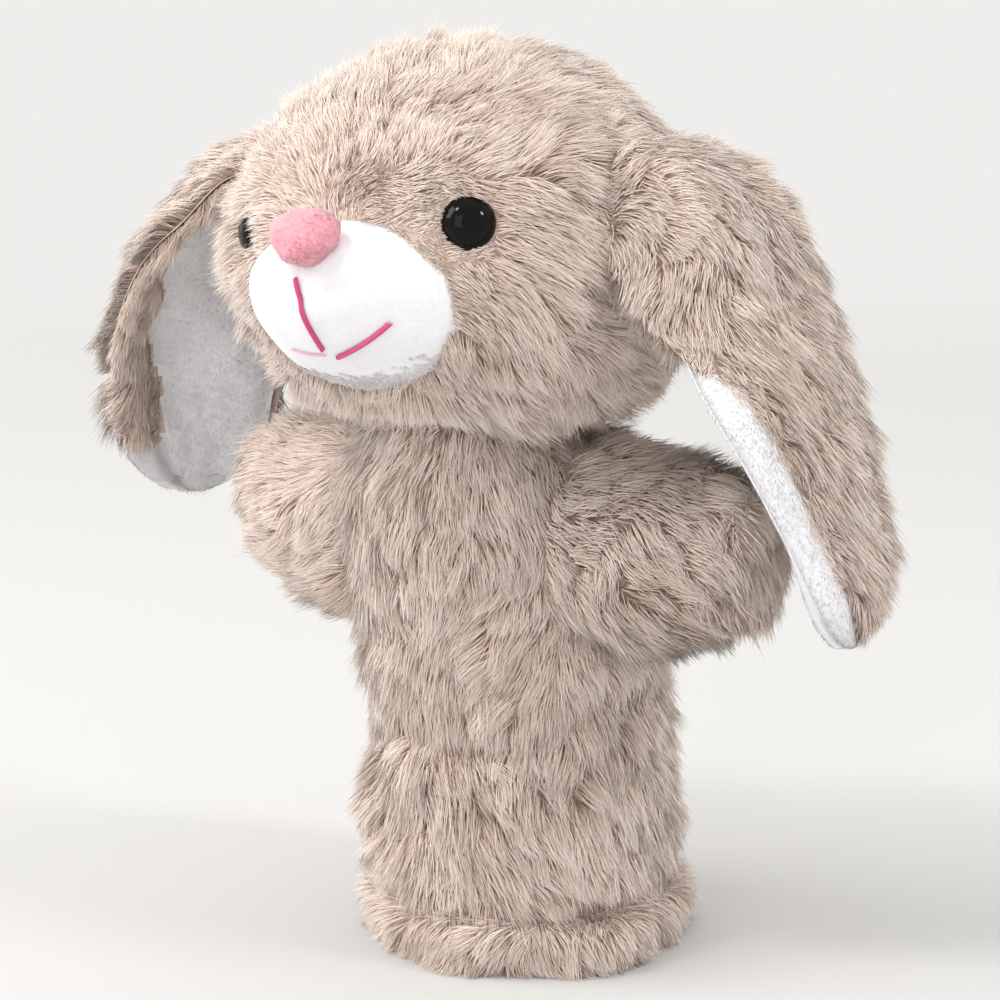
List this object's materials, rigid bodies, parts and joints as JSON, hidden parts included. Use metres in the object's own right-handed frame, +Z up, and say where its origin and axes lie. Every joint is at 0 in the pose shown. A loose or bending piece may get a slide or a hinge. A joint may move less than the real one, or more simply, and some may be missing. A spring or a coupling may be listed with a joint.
{
  "type": "rabbit hand puppet",
  "caption": "Plush long-eared rabbit glove puppet with finger pockets in head and arms, standing on its open round hem.",
  "frame": {"origin": "centre of the round hand opening in the hem, on the surface the puppet stands on", "axes": "+X is the puppet's own left, -Y is the way its face looks, +Z is up"},
  "size_m": [0.228, 0.149, 0.247],
  "materials": {
    "beige_fur": "matte",
    "white_plush": "matte",
    "lining_knit": "matte",
    "stuffing": "matte",
    "pink_flock": "matte",
    "mouth_thread": "satin",
    "hem_thread": "matte",
    "eye_plastic": "gloss",
    "washer_plastic": "satin"
  },
  "bodies": {
    "sleeve": {"hem_band": "beige_fur", "hem_thread": "hem_thread", "sleeve_front_panel": "beige_fur", "sleeve_back_panel": "beige_fur", "sleeve_lining": "lining_knit"},
    "torso": {"torso_front_panel": "beige_fur", "torso_back_panel": "beige_fur", "torso_lining": "lining_knit"},
    "neck": {"neck_collar": "beige_fur"},
    "head": {"head_face_panel": "beige_fur", "head_back_panel": "beige_fur", "head_stuffing": "stuffing", "finger_pocket": "lining_knit", "muzzle_cover": "white_plush", "muzzle_stuffing": "stuffing", "nose": "pink_flock", "mouth_centre_stitch": "mouth_thread", "mouth_left_stitch": "mouth_thread", "mouth_right_stitch": "mouth_thread", "eye_left": "eye_plastic", "eye_right": "eye_plastic", "eye_washer_left": "washer_plastic", "eye_washer_right": "washer_plastic"},
    "arm_left": {"arm_left_front_panel": "beige_fur", "arm_left_back_panel": "beige_fur", "arm_left_lining": "lining_knit"},
    "arm_right": {"arm_right_front_panel": "beige_fur", "arm_right_back_panel": "beige_fur", "arm_right_lining": "lining_knit"},
    "ear_left": {"ear_left_fur": "beige_fur", "ear_left_lining": "white_plush"},
    "ear_right": {"ear_right_fur": "beige_fur", "ear_right_lining": "white_plush"}
  },
  "joints": [
    {"name": "waist_bow", "type": "hinge", "parent": "sleeve", "child": "torso", "pos_m": [0, -0.002, 0.062], "axis": [1, 0, 0], "range_deg": [-20, 20], "stiffness_Nm_per_rad": 6},
    {"name": "head_turn", "type": "hinge", "parent": "torso", "child": "neck", "pos_m": [0, -0.025, 0.15], "axis": [0, 0, 1], "range_deg": [-30, 30], "stiffness_Nm_per_rad": 0.3},
    {"name": "head_nod", "type": "hinge", "parent": "neck", "child": "head", "pos_m": [0, -0.025, 0.15], "axis": [1, 0, 0], "range_deg": [-20, 25], "stiffness_Nm_per_rad": 2},
    {"name": "arm_left_clap", "type": "hinge", "parent": "torso", "child": "arm_left", "pos_m": [0.042, -0.019, 0.118], "axis": [0, 0, -1], "range_deg": [-15, 40], "stiffness_Nm_per_rad": 0.05},
    {"name": "arm_right_clap", "type": "hinge", "parent": "torso", "child": "arm_right", "pos_m": [-0.042, -0.019, 0.118], "axis": [0, 0, 1], "range_deg": [-15, 40], "stiffness_Nm_per_rad": 0.05},
    {"name": "ear_left_lift", "type": "hinge", "parent": "head", "child": "ear_left", "pos_m": [0.052, -0.032, 0.224], "axis": [0, -1, 0], "range_deg": [0, 100]},
    {"name": "ear_right_lift", "type": "hinge", "parent": "head", "child": "ear_right", "pos_m": [-0.052, -0.032, 0.224], "axis": [0, 1, 0], "range_deg": [0, 100]}
  ]
}
